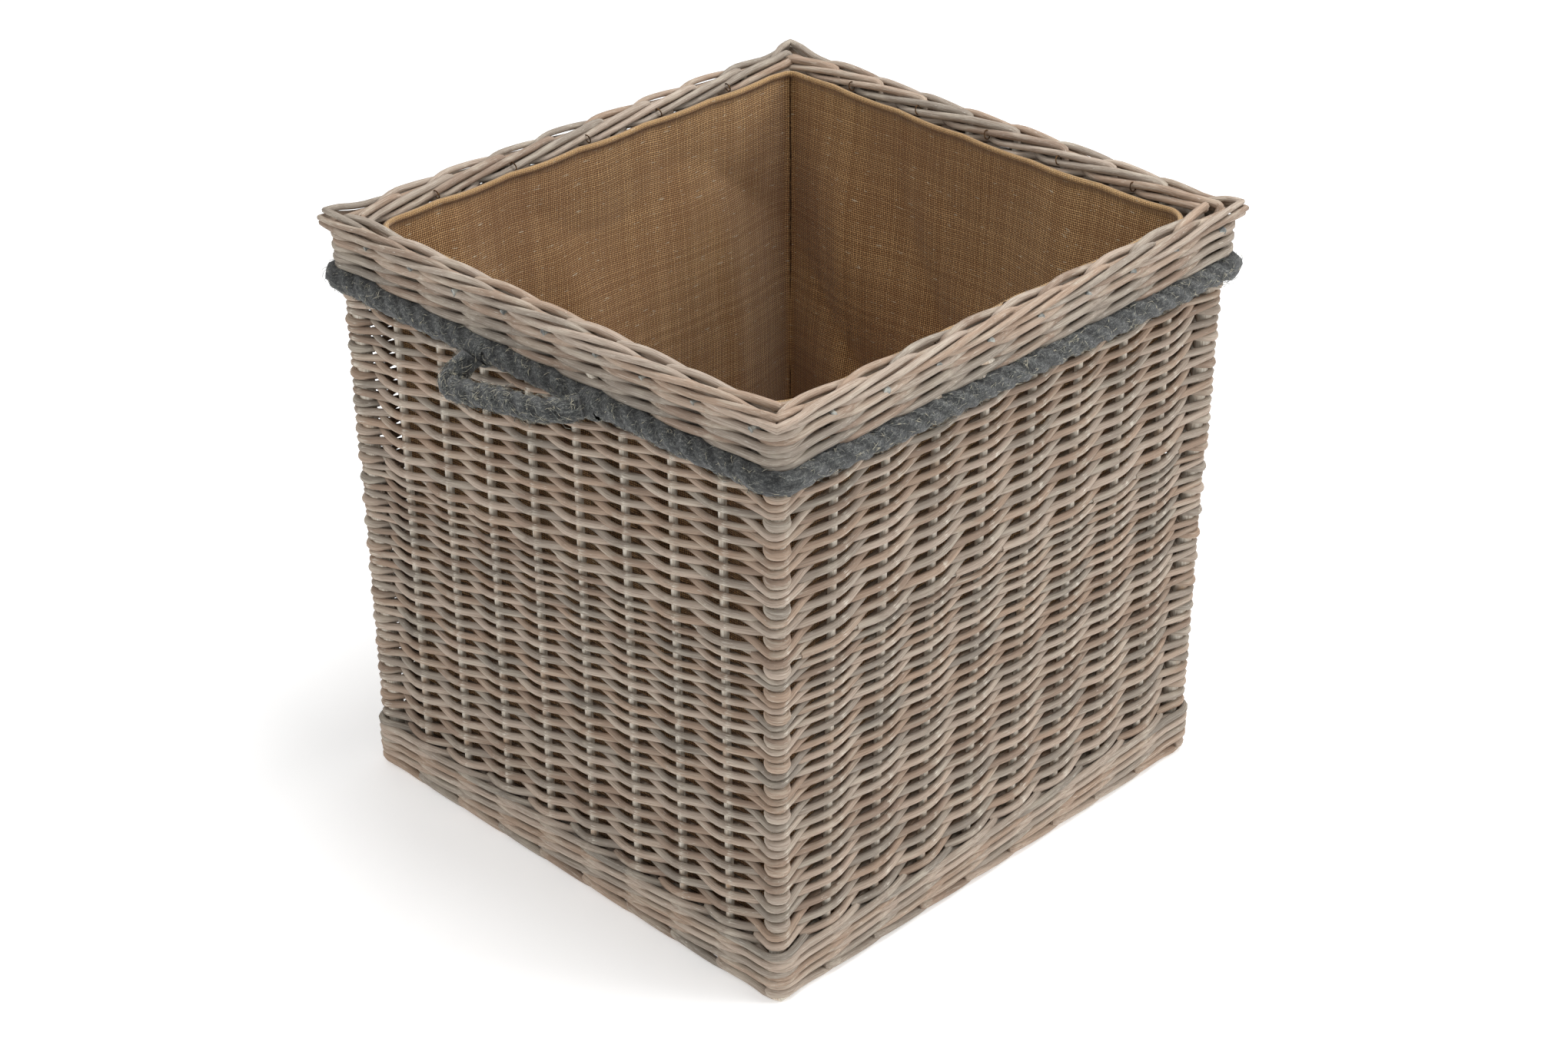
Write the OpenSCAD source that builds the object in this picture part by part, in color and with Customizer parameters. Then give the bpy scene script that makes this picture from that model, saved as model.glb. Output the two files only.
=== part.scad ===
// Square willow basket with a rope band, two rope handles and a loose cloth lining.
// The origin is on the floor under the middle of the basket, +Z is up and the front faces -Y.
// The handles hang on the left (-X) and right (+X) walls and turn about the rope band.

/* [Basket] */
// Width across the woven walls at the rim, left to right
rim_w = 500; // [400:5:620]
// Depth across the woven walls at the rim, front to back
rim_d = 480; // [400:5:620]
// Height from the floor to the top of the border
height = 500; // [300:5:640]
// How far each wall leans in from the rim to the floor
lean = 5; // [0:1:14]
// Stakes in each wall, between its corner posts
stake_count = 8; // [6:2:10]

/* [Willow] */
// Thickness of the rods woven in front of and behind the stakes
rod_d = 6; // [4:0.5:8]
// Thickness of the upright stakes
stake_d = 6.5; // [5:0.5:8]
// Thickness of the corner posts
post_d = 13; // [10:1:13]
// Thickness of the sticks that the base is woven on
stick_d = 9; // [6:1:10]
// Number of sticks in the base
stick_count = 7; // [5:2:9]
// Thickness of the woven base
base_t = 12; // [11:1:16]

/* [Bands of weaving] */
// Height of the foot border that stands on the floor
foot_h = 12; // [10:1:20]
// Height of the wale above the foot
bottom_wale_h = 32; // [20:1:40]
// Height of the wale under the border
top_wale_h = 27; // [15:1:34]
// Height of the border that closes the rim
border_h = 15; // [12:1:24]
// How far the bottom wale stands out from the wall
bottom_wale_out = 4; // [0:1:6]
// How far the top wale and the border stand out from the wall
border_out = 6; // [2:1:6]
// Width of the border across its top, from its outer to its inner edge
border_w = 22; // [20:1:26]

/* [Rope] */
// Diameter of the rope in the band and the handles
rope_d = 18; // [12:1:18]
// Thickness of the rope's tail where it is turned round the band
tail_t = 2.4; // [2:0.2:3.2]
// Clearance between a handle's tail and the band it turns on
turn_gap = 0.3; // [0.3:0.1:0.6]

/* [Lining] */
// Thickness of the cloth
cloth_t = 1.8; // [1.2:0.2:3]
// Radius of the lining's corners
lining_r = 45; // [20:5:70]
// Height of the rolled hem
hem_h = 10; // [6:1:14]
// Thickness of the rolled hem
hem_t = 5; // [3:0.5:6]
// How far the top of the hem lies below the top of the border
hem_drop = 6; // [4:1:8]
// Stitches that hold the hem along each wall
tie_count = 5; // [3:1:7]

/* [Hidden] */
$fn = 48;

willow = [0.62, 0.53, 0.45];
pale_willow = [0.70, 0.60, 0.50];
charcoal = [0.27, 0.28, 0.29];
hessian = [0.55, 0.41, 0.24];

fit_gap = 0.3;
bore_gap = 0.05;

// Levels, from the floor up
base_z = foot_h + 2;
weave_z = foot_h + bottom_wale_h;
border_z = height - border_h;
top_wale_z = border_z - top_wale_h;
tail_r = rope_d / 2 + turn_gap + tail_t;
band_z = top_wale_z - fit_gap - tail_r;
weave_top = band_z - tail_r - fit_gap;
cloth_z = base_z + base_t;
hem_z = height - hem_drop - hem_h;

// The wall is two rods thick with a stake between them
weave_t = 2 * rod_d + stake_d;
stake_in = rod_d + stake_d / 2;
post_in = rod_d + post_d / 2;
ring_r = 14;
inner_ring_r = 6;

// The band lies against the stakes and goes round the posts with room for its own thickness
band_out = max(rope_d / 2 + fit_gap + stake_d / 2 - stake_in, rope_d / 2 + fit_gap - rod_d) + 0.2;
band_bend_r = post_in + band_out;

// Half sizes of the woven walls at a height
function half_w(z) = rim_w / 2 - lean * (1 - z / height);
function half_d(z) = rim_d / 2 - lean * (1 - z / height);

// Half sizes of the border's inner edge, of the lining's outer face at its base and under its
// hem, and of the hem's outer face. The lining leans out with the walls.
lining_gap = 2;
hem_over = 1.5;
tie_d = 2;
tie_l = 2;
tie_z = (max(hem_z, border_z) + hem_z + hem_h) / 2;
border_in_w = rim_w / 2 + border_out - border_w;
border_in_d = rim_d / 2 + border_out - border_w;
lining_w = half_w(0) - weave_t - lining_gap;
lining_d = half_d(0) - weave_t - lining_gap;
lining_top_w = min(half_w(height) - weave_t - lining_gap, border_in_w - tie_l - hem_over);
lining_top_d = min(half_d(height) - weave_t - lining_gap, border_in_d - tie_l - hem_over);
hem_w = lining_top_w + hem_over;
hem_d = lining_top_d + hem_over;
seam_t = 1.2;
seam_w = 3;

// Distance between stakes, from corner post to corner post
gap_w = 2 * (half_w(band_z) - post_in) / (stake_count + 1);
gap_d = 2 * (half_d(band_z) - post_in) / (stake_count + 1);

// Each handle's tails go round the band just inside the second stake from the middle
tail_w = rope_d + 1;
tail_at = 1.5 * gap_d - stake_d / 2 - 2 - tail_w / 2;

// The handle's own line: distance out from its ends, share of the way to its tail, and height
// above the band's middle. It hangs lower at one end, as a stiff rope settles.
handle_line = [
  [0, 1, -1], [0.5, 1.01, -5], [3, 1.04, -9.5], [7, 1.08, -13.5], [11, 1.06, -16],
  [13, 0.92, -16.5], [13, 0.75, -15.5], [12, 0.5, -13.5], [11, 0.2, -11.5], [10, -0.1, -9.5],
  [8.5, -0.4, -7.5], [6.5, -0.65, -5.5], [3.5, -0.87, -3], [0, -1, -1]
];
// Distance of its ends from the band's middle, where the rope sinks into its tails
tail_bite = 1.7;
line_out = rope_d / 2 + tail_r - tail_bite;
rope_sides = 12;

module rounded(w, d, r) {
  square([2 * w - 2 * r, 2 * d], center = true);
  square([2 * w, 2 * d - 2 * r], center = true);
  for (x = [-1, 1], y = [-1, 1]) translate([x * (w - r), y * (d - r)]) circle(r);
}

// A square hoop between two levels; out and inn are measured from the given half sizes
module hoop(z, h, w, d, out, inn, r_out = ring_r, r_inn = inner_ring_r) {
  translate([0, 0, z]) linear_extrude(h) difference() {
    rounded(w + out, d + out, r_out);
    rounded(w - inn, d - inn, r_inn);
  }
}

// A straight rod between two points
module rod(a, b, d) {
  v = b - a;
  translate(a) rotate([0, acos(v.z / norm(v)), atan2(v.y, v.x)]) cylinder(d = d, h = norm(v));
}

// Stakes of a wall that faces -Y, at its distance from the middle at the top and at the floor
module stake_row(gap, top, bottom, d) {
  for (i = [0 : stake_count - 1])
    let (x = (i - (stake_count - 1) / 2) * gap)
      rod([x, -(bottom - stake_in), 0], [x, -(top - stake_in), height], d);
}

module all_stakes(d) {
  for (a = [0, 180]) rotate(a) stake_row(gap_w, half_d(height), half_d(0), d);
  for (a = [90, 270]) rotate(a) stake_row(gap_d, half_w(height), half_w(0), d);
}

module post(sx, sy, d) {
  rod([sx * (half_w(0) - post_in), sy * (half_d(0) - post_in), 0],
      [sx * (half_w(height) - post_in), sy * (half_d(height) - post_in), height], d);
}

module all_posts(d) {
  for (x = [-1, 1], y = [-1, 1]) post(x, y, d);
}

// What lies between the foot and the border
module upright_zone() {
  translate([-rim_w, -rim_d, foot_h]) cube([2 * rim_w, 2 * rim_d, border_z - foot_h]);
}

module upright_bores() {
  all_stakes(stake_d + 2 * bore_gap);
  all_posts(post_d + 2 * bore_gap);
}

// One woven wall facing -Y, mitred at both ends, with its inner and outer faces leaning together
module weave_slab(w, top, bottom) {
  reach = max(rim_w, rim_d);
  far = bottom + (top - bottom) * weave_top / height;
  near = bottom + (top - bottom) * weave_z / height;
  intersection() {
    rotate([90, 0, 90]) linear_extrude(2 * reach, center = true)
      polygon([[-near, weave_z], [-far, weave_top],
               [-(far - weave_t), weave_top], [-(near - weave_t), weave_z]]);
    linear_extrude(height)
      polygon([[-w, -top], [-(w + reach), -(top + reach)], [w + reach, -(top + reach)], [w, -top],
               [w - weave_t - lean - 1, -(top - weave_t - lean - 1)],
               [-(w - weave_t - lean - 1), -(top - weave_t - lean - 1)]]);
  }
}

module weave_w(a) {
  difference() {
    rotate(a) weave_slab(rim_w / 2, rim_d / 2, half_d(0));
    upright_bores();
  }
}

module weave_d(a) {
  difference() {
    rotate(a) weave_slab(rim_d / 2, rim_w / 2, half_w(0));
    upright_bores();
  }
}

// The foot border: the turned-down stake ends, woven into a hoop that stands on the floor
module foot_border() color(willow)
  hoop(0, foot_h, half_w(0), half_d(0), 0, weave_t);

module bottom_wale() color(willow) difference() {
  hoop(foot_h, bottom_wale_h, half_w(0), half_d(0), bottom_wale_out, weave_t);
  upright_bores();
}

module base_stick_row(d) {
  step = 2 * (half_w(0) - weave_t) / (stick_count + 1);
  for (i = [0 : stick_count - 1])
    translate([(i - (stick_count - 1) / 2) * step, 0, base_z + base_t / 2]) rotate([90, 0, 0])
      cylinder(d = d, h = 2 * (half_d(0) - weave_t), center = true);
}

module base_weave() color(willow) difference() {
  translate([0, 0, base_z]) linear_extrude(base_t)
    rounded(half_w(0) - weave_t, half_d(0) - weave_t, inner_ring_r);
  base_stick_row(stick_d + 2 * bore_gap);
}

module base_sticks() color(pale_willow) base_stick_row(stick_d);

module weave_front() color(willow) weave_w(0);
module weave_back() color(willow) weave_w(180);
module weave_left() color(willow) weave_d(270);
module weave_right() color(willow) weave_d(90);

module cut_stakes(a, gap, top, bottom) color(pale_willow) intersection() {
  rotate(a) stake_row(gap, top, bottom, stake_d);
  upright_zone();
}
module stakes_front() cut_stakes(0, gap_w, half_d(height), half_d(0));
module stakes_back() cut_stakes(180, gap_w, half_d(height), half_d(0));
module stakes_left() cut_stakes(270, gap_d, half_w(height), half_w(0));
module stakes_right() cut_stakes(90, gap_d, half_w(height), half_w(0));

module cut_post(sx, sy) color(pale_willow) intersection() {
  post(sx, sy, post_d);
  upright_zone();
}
module corner_post_front_left() cut_post(-1, -1);
module corner_post_front_right() cut_post(1, -1);
module corner_post_back_left() cut_post(-1, 1);
module corner_post_back_right() cut_post(1, 1);

module top_wale() color(willow) difference() {
  hoop(top_wale_z, top_wale_h, rim_w / 2, rim_d / 2, border_out, weave_t);
  upright_bores();
}

module rim_border() color(willow)
  hoop(border_z, border_h, rim_w / 2, rim_d / 2, border_out, border_w - border_out);

// The rope laid round the stakes in the gap between the wall and the top wale
module rope_band() color(charcoal) {
  w = half_w(band_z) - post_in;
  d = half_d(band_z) - post_in;
  translate([0, 0, band_z]) {
    for (s = [-1, 1]) {
      translate([0, s * (d + band_bend_r), 0]) rotate([0, 90, 0])
        cylinder(d = rope_d, h = 2 * w, center = true);
      translate([s * (w + band_bend_r), 0, 0]) rotate([90, 0, 0])
        cylinder(d = rope_d, h = 2 * d, center = true);
    }
    for (c = [[1, 1, 0], [-1, 1, 90], [-1, -1, 180], [1, -1, 270]])
      translate([c.x * w, c.y * d, 0]) rotate(c.z)
        rotate_extrude(angle = 90) translate([band_bend_r, 0]) circle(d = rope_d);
  }
}

// A round rope swept along points; sides face outwards in the same order at every point
function unit(v) = v / norm(v);
function along(p, i) = unit(p[min(i + 1, len(p) - 1)] - p[max(i - 1, 0)]);
function rope_ring(p, i) =
  let (t = along(p, i), n = unit(cross(t, [1, 0, 0])), b = cross(t, n))
    [for (k = [0 : rope_sides - 1]) let (a = 360 * k / rope_sides)
      p[i] + rope_d / 2 * (cos(a) * n + sin(a) * b)];
module swept_rope(p) {
  last = len(p) - 1;
  points = [for (i = [0 : last]) each rope_ring(p, i)];
  sides = [for (i = [0 : last - 1], k = [0 : rope_sides - 1])
    let (a = i * rope_sides + k, b = i * rope_sides + (k + 1) % rope_sides)
      [a, a + rope_sides, b + rope_sides, b]];
  start = [for (k = [0 : rope_sides - 1]) k];
  end = [for (k = [rope_sides - 1 : -1 : 0]) last * rope_sides + k];
  polyhedron(points, concat([start], sides, [end]));
}

// One handle on the left wall: a stiff loop of rope whose two tails are turned round the band
module handle() color(charcoal)
  translate([-(half_w(band_z) + band_out), 0, band_z]) {
    for (s = [-1, 1]) translate([0, s * tail_at, 0]) rotate([90, 0, 0]) difference() {
      cylinder(r = tail_r, h = tail_w, center = true);
      cylinder(r = rope_d / 2 + turn_gap, h = tail_w + 2, center = true);
    }
    swept_rope([for (p = handle_line) [-line_out - p[0], p[1] * tail_at, p[2]]]);
  }
module handle_left() handle();
module handle_right() rotate(180) handle();

// An outline of the lining at its base, drawn up to the hem as it leans out
module lining_lean() {
  translate([0, 0, cloth_z + cloth_t])
    linear_extrude(hem_z - cloth_z - cloth_t, slices = 1,
                   scale = [lining_top_w / lining_w, lining_top_d / lining_d]) children();
}

// A band of the lining's outline, from one depth inside its outer face to another
module lining_outline(from, to) {
  difference() {
    rounded(lining_w - from, lining_d - from, lining_r - from);
    rounded(lining_w - to, lining_d - to, lining_r - to);
  }
}

module lining_walls() color(hessian) lining_lean() lining_outline(0, cloth_t);

module lining_base() color(hessian) translate([0, 0, cloth_z]) linear_extrude(cloth_t)
  rounded(lining_w, lining_d, lining_r);

module lining_hem() color(hessian)
  hoop(hem_z, hem_h, hem_w, hem_d, 0, hem_t, lining_r, lining_r - hem_t);

// One seam bead up the inside of each rounded corner
module lining_seams() color(hessian) lining_lean() intersection() {
  lining_outline(cloth_t, cloth_t + seam_t);
  for (x = [-1, 1], y = [-1, 1])
    translate([x * (lining_w - lining_r), y * (lining_d - lining_r)]) rotate(atan2(y, x))
      translate([lining_r / 2, 0]) square([lining_r, seam_w], center = true);
}

// Stitches between the outside of the hem and the inside of the border
module tie_row(from, to, length) {
  step = length / (tie_count + 1);
  for (i = [0 : tie_count - 1])
    translate([(i - (tie_count - 1) / 2) * step, -from, tie_z])
      rotate([90, 0, 0]) cylinder(d = tie_d, h = to - from);
}
module lining_ties() color(hessian) {
  for (a = [0, 180]) rotate(a) tie_row(hem_d, border_in_d, 2 * (hem_w - lining_r));
  for (a = [90, 270]) rotate(a) tie_row(hem_w, border_in_w, 2 * (hem_d - lining_r));
}

foot_border();
bottom_wale();
base_weave();
base_sticks();
weave_front();
weave_back();
weave_left();
weave_right();
stakes_front();
stakes_back();
stakes_left();
stakes_right();
corner_post_front_left();
corner_post_front_right();
corner_post_back_left();
corner_post_back_right();
top_wale();
rim_border();
rope_band();
handle_left();
handle_right();
lining_walls();
lining_base();
lining_hem();
lining_seams();
lining_ties();
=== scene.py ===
# %% [markdown]
# # A square willow basket with a rope band and a hessian lining
# The basket is woven the way a basket maker works: stakes and corner posts stand up from a
# foot, rods are woven round them, wales lock the weave at both ends, and the stakes are bent
# down into a border. A soft rope lies in a gap under the border and makes two handles.
# The CAD frame gives every place and size, so it is loaded first and its box is kept.

# %% Load the frame
import math
import random

import bmesh
import bpy
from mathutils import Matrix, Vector, noise


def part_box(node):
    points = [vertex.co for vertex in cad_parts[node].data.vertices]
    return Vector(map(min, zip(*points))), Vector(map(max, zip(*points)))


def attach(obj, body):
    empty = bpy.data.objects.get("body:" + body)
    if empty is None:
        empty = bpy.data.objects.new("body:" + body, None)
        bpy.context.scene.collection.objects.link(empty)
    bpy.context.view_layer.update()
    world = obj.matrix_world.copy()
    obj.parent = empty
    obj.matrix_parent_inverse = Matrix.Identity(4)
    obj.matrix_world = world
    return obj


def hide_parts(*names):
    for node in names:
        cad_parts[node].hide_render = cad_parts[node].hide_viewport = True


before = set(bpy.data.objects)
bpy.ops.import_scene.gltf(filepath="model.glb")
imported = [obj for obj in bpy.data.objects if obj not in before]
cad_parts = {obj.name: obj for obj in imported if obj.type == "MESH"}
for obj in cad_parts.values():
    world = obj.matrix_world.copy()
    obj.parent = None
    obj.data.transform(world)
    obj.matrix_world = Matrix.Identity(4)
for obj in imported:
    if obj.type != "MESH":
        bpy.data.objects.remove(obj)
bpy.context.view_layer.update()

MM = 0.001
scene = bpy.context.scene
scene.view_settings.view_transform = "Standard"
print("nodes in the frame:", len(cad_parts))

# %% [markdown]
# ## The camera
# The basket is looked at over one corner, from a little above, with a long lens that keeps
# its upright edges nearly parallel. A camera looks along its own -Z, so a direction vector
# is turned into a rotation with to_track_quat, which is easier to read than three angles.

# %% Camera
CAMERA_AT = Vector((-1.5313, -1.5133, 1.4434))
YAW = math.radians(45.329)
PITCH = math.radians(-29.552)
look = Vector((math.cos(PITCH) * math.sin(YAW), math.cos(PITCH) * math.cos(YAW), math.sin(PITCH)))
lens = bpy.data.cameras.new("camera")
lens.lens = 70.49
lens.sensor_width = 36
lens.dof.use_dof = False
camera = bpy.data.objects.new("camera", lens)
camera.location = CAMERA_AT
camera.rotation_euler = look.to_track_quat("-Z", "Y").to_euler()
scene.collection.objects.link(camera)
scene.camera = camera
print("camera looks along", tuple(round(c, 3) for c in look))

# %% [markdown]
# ## Floor and studio light
# A pale floor that runs far past the basket needs no horizon. One large soft light above
# and two big weak ones from the sides keep the shadows soft, and a bright world fills the
# gaps between the rods so that they read as brown and not as black.

# %% Floor and lights
def new_object(name, mesh):
    made = bpy.data.objects.new(name, mesh)
    scene.collection.objects.link(made)
    return made


floor_bm = bmesh.new()
bmesh.ops.create_grid(floor_bm, x_segments=1, y_segments=1, size=30.0)
floor_mesh = bpy.data.meshes.new("floor")
floor_bm.to_mesh(floor_mesh)
floor_bm.free()
floor = new_object("floor", floor_mesh)


def soft_light(name, place, size, power):
    data = bpy.data.lights.new(name, "AREA")
    data.shape = "DISK"
    data.size = size
    data.energy = power
    lamp = bpy.data.objects.new(name, data)
    lamp.location = place
    lamp.rotation_euler = (Vector((0, 0, 0.3)) - Vector(place)).to_track_quat("-Z", "Y").to_euler()
    scene.collection.objects.link(lamp)


soft_light("top light", (0.3, -0.5, 2.6), 1.3, 40)
soft_light("right light", (1.6, -2.4, 1.9), 1.2, 29)
soft_light("left light", (-2.6, 0.4, 1.8), 1.2, 11)
world = bpy.data.worlds.new("studio")
world.use_nodes = True
world.node_tree.nodes["Background"].inputs["Color"].default_value = (1, 1, 1, 1)
world.node_tree.nodes["Background"].inputs["Strength"].default_value = 0.62
scene.world = world

# %% [markdown]
# ## Writing shader maths as Python
# A finish is a graph of nodes, but sums are easier to read than boxes and wires. Wire wraps
# one output socket, so that `1 - mask * 0.4` adds the two Math nodes by itself. Finish holds
# one material and its one method, add, makes every other kind of node: its type, then its
# settings, then what goes into its sockets.

# %% Shader helpers
class Wire:
    """An output socket that can be used in a sum."""

    def __init__(self, finish, socket):
        self.finish = finish
        self.socket = socket

    def math(self, operation, a, b=0.0):
        return self.finish.add("Math", {"operation": operation}, {0: a, 1: b})

    def __add__(self, other):
        return self.math("ADD", self, other)

    def __sub__(self, other):
        return self.math("SUBTRACT", self, other)

    def __rsub__(self, other):
        return self.math("SUBTRACT", other, self)

    def __mul__(self, other):
        return self.math("MULTIPLY", self, other)

    def __truediv__(self, other):
        return self.math("DIVIDE", self, other)

    def __rtruediv__(self, other):
        return self.math("DIVIDE", other, self)

    __radd__ = __add__
    __rmul__ = __mul__


# %% [markdown]
# A finish starts with a Principled shader.

# %% Finish
class Finish:
    """One material, its Principled shader and the method that adds nodes to it."""

    def __init__(self, name, **constants):
        self.material = bpy.data.materials.new(name)
        self.material.use_nodes = True
        self.tree = self.material.node_tree
        self.shader = self.tree.nodes["Principled BSDF"]
        for socket, value in constants.items():
            self.shader.inputs[socket.replace("_", " ")].default_value = value

    def put(self, socket, value):
        if isinstance(value, Wire):
            self.tree.links.new(value.socket, socket)
        else:
            socket.default_value = value

    def add(self, kind, settings, sockets, output=0):
        node = self.tree.nodes.new("ShaderNode" + kind)
        for name, value in settings.items():
            if name == "stops":
                while len(node.color_ramp.elements) < len(value):
                    node.color_ramp.elements.new(1.0)
                for element, (place, colour) in zip(node.color_ramp.elements, value):
                    element.position = place
                    element.color = (*colour, 1)
            else:
                setattr(node, name, value)
        for name, value in sockets.items():
            self.put(node.inputs[name], value)
        return Wire(self, node.outputs[output])

    def noise(self, vector, scale, detail=3.0, roughness=0.55):
        return self.add("TexNoise", {}, {"Vector": vector, "Scale": scale, "Detail": detail,
                                         "Roughness": roughness})

    def step(self, value, low, high):
        return self.add("MapRange", {"interpolation_type": "SMOOTHSTEP"},
                        {"Value": value, "From Min": low, "From Max": high})

    def ramp(self, value, *stops):
        return self.add("ValToRGB", {"stops": stops}, {"Fac": value})

    def blend(self, amount, first, second):
        colours = {6: first if isinstance(first, Wire) else (*first, 1),
                   7: second if isinstance(second, Wire) else (*second, 1)}
        return self.add("Mix", {"data_type": "RGBA"}, {0: amount, **colours}, output=2)

    def vector(self, x, y, z):
        return self.add("CombineXYZ", {}, {0: x, 1: y, 2: z})

    def finish(self, **links):
        height = links.pop("height", None)
        for socket, value in links.items():
            self.put(self.shader.inputs[socket.replace("_", " ")], value)
        if height:
            bump = self.add("Bump", {}, {"Height": height[0], "Strength": height[1],
                                         "Distance": height[2]})
            self.put(self.shader.inputs["Normal"], bump)
        print("finish:", self.material.name, len(self.tree.nodes), "nodes")
        return self.material


# %% [markdown]
# A colour is chosen as it is printed on a paint card, and the shader wants linear light. The
# floor is the first thing to get a finish: nearly white, with a faint mottle and no gloss.

# %% Floor finish
def linear(red, green, blue):
    """A paint card's red, green and blue, 0 to 255, turned into the renderer's linear light."""
    return tuple(((c / 255 + 0.055) / 1.055) ** 2.4 if c > 10 else c / 3295 for c in (red, green, blue))


paper = Finish("pale floor", Roughness=0.9, Emission_Color=(1, 1, 1, 1), Emission_Strength=0.3)
mottle = paper.noise(paper.add("TexCoord", {}, {}, output=3), 2.0)
floor.data.materials.append(paper.finish(
    Base_Color=paper.ramp(mottle, (0.3, (0.90, 0.90, 0.90)), (0.7, (0.93, 0.93, 0.93)))))

# %% [markdown]
# ## Willow
# Each rod is its own stem, so no two have the same colour: greyed, straw, pinkish brown.
# Every rod's mesh carries its tint, its length and how bruised its bark is, and a UV map that
# runs along it and round it. Turning the round part into a cosine and a sine gives noise
# that has no seam, stretched into streaks along the grain. Pale flecks are bruised bark.

# %% Willow finish
def willow_finish():
    wood = Finish("willow", Specular_IOR_Level=0.22)
    tint = wood.add("Attribute", {"attribute_name": "tint"}, {}, output=2)
    span = wood.add("Attribute", {"attribute_name": "span"}, {}, output=2)
    along_round = wood.add("SeparateXYZ", {}, {0: wood.add("UVMap", {"uv_map": "UVMap"}, {})})
    along = along_round * span
    turn = Wire(wood, along_round.socket.node.outputs[1]) * (2 * math.pi)
    east = wood.add("Math", {"operation": "COSINE"}, {0: turn})
    north = wood.add("Math", {"operation": "SINE"}, {0: turn})
    shift = tint * 53.0
    grain = wood.noise(wood.vector(along * 34 + shift, east * 2.8, north * 2.8 + shift), 1.8, 5)
    patches = wood.noise(wood.vector(along * 34 + shift, east * 0.5, north * 0.5), 1.0, 2)
    flecks = wood.noise(wood.vector(along * 170 + shift, east * 2.6, north * 2.6), 1.3, 3)
    stem = wood.ramp(tint, (0.0, linear(138, 130, 120)), (0.25, linear(164, 151, 138)),
                     (0.5, linear(182, 165, 150)), (0.75, linear(170, 147, 128)),
                     (1.0, linear(148, 129, 114)))
    worn = wood.blend(wood.step(patches, 0.45, 0.75) * 0.55, stem, linear(198, 188, 172))
    streaked = wood.blend(wood.step(grain, 0.56, 0.30) * 0.55, worn, linear(108, 92, 77))
    bruise = wood.add("Attribute", {"attribute_name": "bruise"}, {}, output=2)
    fibres = wood.noise(wood.vector(along * 75 + shift, east * 4.5, north * 4.5), 1.2, 3)
    torn = wood.step(fibres + bruise * 0.16, 0.60, 0.68)
    flecked = wood.blend(wood.step(flecks, 0.64, 0.74) * 0.6, streaked, linear(222, 217, 206))
    pale = wood.blend(torn * (bruise * 0.75 + 0.05), flecked, linear(232, 226, 212))
    return wood.finish(Base_Color=pale, Roughness=0.72 + grain * 0.22,
                       height=(grain + flecks * 0.5, 0.6, 0.0009))


willow = willow_finish()

# %% [markdown]
# ## The ring of uprights
# Everything woven follows the same ring: eight stakes a wall and a thick post at each corner.
# The walls lean out a little, and the CAD boxes say how much, so the middle of every upright
# can be worked out for any height.

# %% Uprights
GAPS = 9
ROUND = 4 * GAPS
ALONG = [Vector((1, 0, 0)), Vector((0, 1, 0)), Vector((-1, 0, 0)), Vector((0, -1, 0))]
OUT = [Vector((0, -1, 0)), Vector((1, 0, 0)), Vector((0, 1, 0)), Vector((-1, 0, 0))]
STAKE_R = 3.25 * MM
POST_R = 6.5 * MM
STAKE_IN = 9.25 * MM
POST_IN = 12.5 * MM

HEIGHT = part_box("rim_border")[1][2]
FLOOR_HALF = [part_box("foot_border")[1][axis] for axis in (0, 1)]
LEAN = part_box("top_wale")[1][0] - 6 * MM - FLOOR_HALF[0]
BAND_Z = (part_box("rope_band")[0][2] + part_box("rope_band")[1][2]) / 2


def wall_half(axis, z):
    return FLOOR_HALF[axis] + LEAN * z / HEIGHT


def upright(wall, count, z):
    """Middle of a stake, or of a post at count 0 and 9, at a height."""
    face = wall_half(0 if wall % 2 else 1, z)
    side = wall_half(1 if wall % 2 else 0, z)
    if count in (0, GAPS):
        sign = -1 if count == 0 else 1
        place = ALONG[wall] * sign * (side - POST_IN) + OUT[wall] * (face - POST_IN)
    else:
        step = 2 * (wall_half(1 if wall % 2 else 0, BAND_Z) - POST_IN) / GAPS
        place = ALONG[wall] * (count - GAPS / 2) * step + OUT[wall] * (face - STAKE_IN)
    return place


print("height", round(HEIGHT, 3), "lean", round(LEAN, 4))

# %% [markdown]
# One number, counted in gaps to the right from the front left post, names any place on the
# ring. A second one says how far outside the uprights' middles a rod runs, less than nothing
# when it passes behind them. Close to a post the ring turns about the post itself, so a rod
# goes round the corner on an arc.

# %% Places round the ring
# Share of a gap, beside each post, in which the ring turns
TURN = 0.12


def on_ring(s, side, z, square=0.0):
    """A point round the basket: s in gaps, side outwards from the uprights, at a height.

    With square at 1 a line outside the uprights keeps a sharp corner, and at 0 a round one.
    """
    wall, count = divmod(s % ROUND, GAPS)
    wall, first = int(wall), int(count)
    share = count - first
    near = count if count < GAPS / 2 else GAPS - count
    if first == 0:
        share = max(0.0, (share - TURN) / (1 - TURN))
    if first == GAPS - 1:
        share = min(1.0, share / (1 - TURN))
    middle = upright(wall, first, z).lerp(upright(wall, first + 1, z), share)
    close = min(1.0, max(0.0, 1 - (near - TURN) / (0.5 - TURN)))
    reach = side + math.copysign(POST_R - STAKE_R, side) * close * min(1.0, abs(side) / (6 * MM))
    bend = max(0.0, 1 - near / (TURN if side > 0 else 0.5)) * math.pi / 4
    reach *= 1 + square * (1 / math.cos(bend) - 1)
    towards = ALONG[wall] * (-1 if count < GAPS / 2 else 1)
    spot = middle + (OUT[wall] * math.cos(bend) + towards * math.sin(bend)) * reach
    spot.z = z
    return spot


print("middle of the front, on the outside:", tuple(round(c, 3) for c in on_ring(4.5, 5 * MM, BAND_Z)))

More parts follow.
